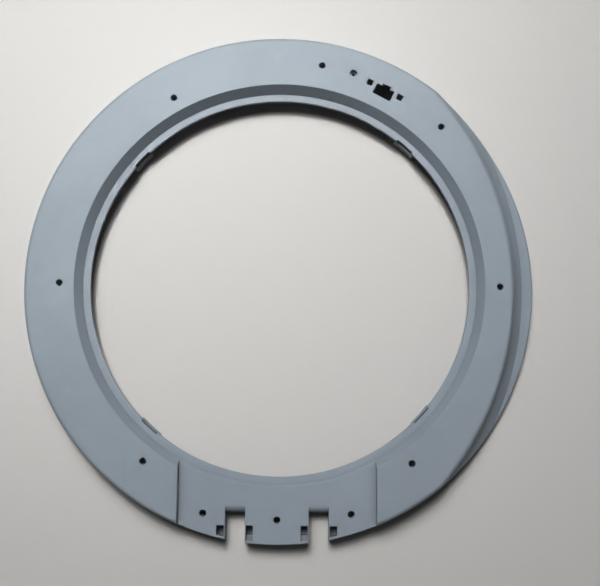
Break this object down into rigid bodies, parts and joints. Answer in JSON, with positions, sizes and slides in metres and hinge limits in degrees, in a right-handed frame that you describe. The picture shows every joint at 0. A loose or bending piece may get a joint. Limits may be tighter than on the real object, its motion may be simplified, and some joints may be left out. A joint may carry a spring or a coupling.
{
  "type": "washing machine inner door ring",
  "caption": "Moulded plastic ring for the inner side of a front-loading washing machine door: stepped opening, lowered hinge panel with open slots, latch seat and grip scoop in its edge.",
  "frame": {"origin": "centre of the ring on the plane of its rear rim", "axes": "+Z out of the face, -Y towards the hinge side, +X towards the grip scoop"},
  "size_m": [0.475, 0.475, 0.029],
  "materials": {
    "grey_plastic": "fine matte moulded grain, blue-grey"
  },
  "bodies": {
    "root": {"inner_door_ring": "grey_plastic"}
  },
  "joints": []
}
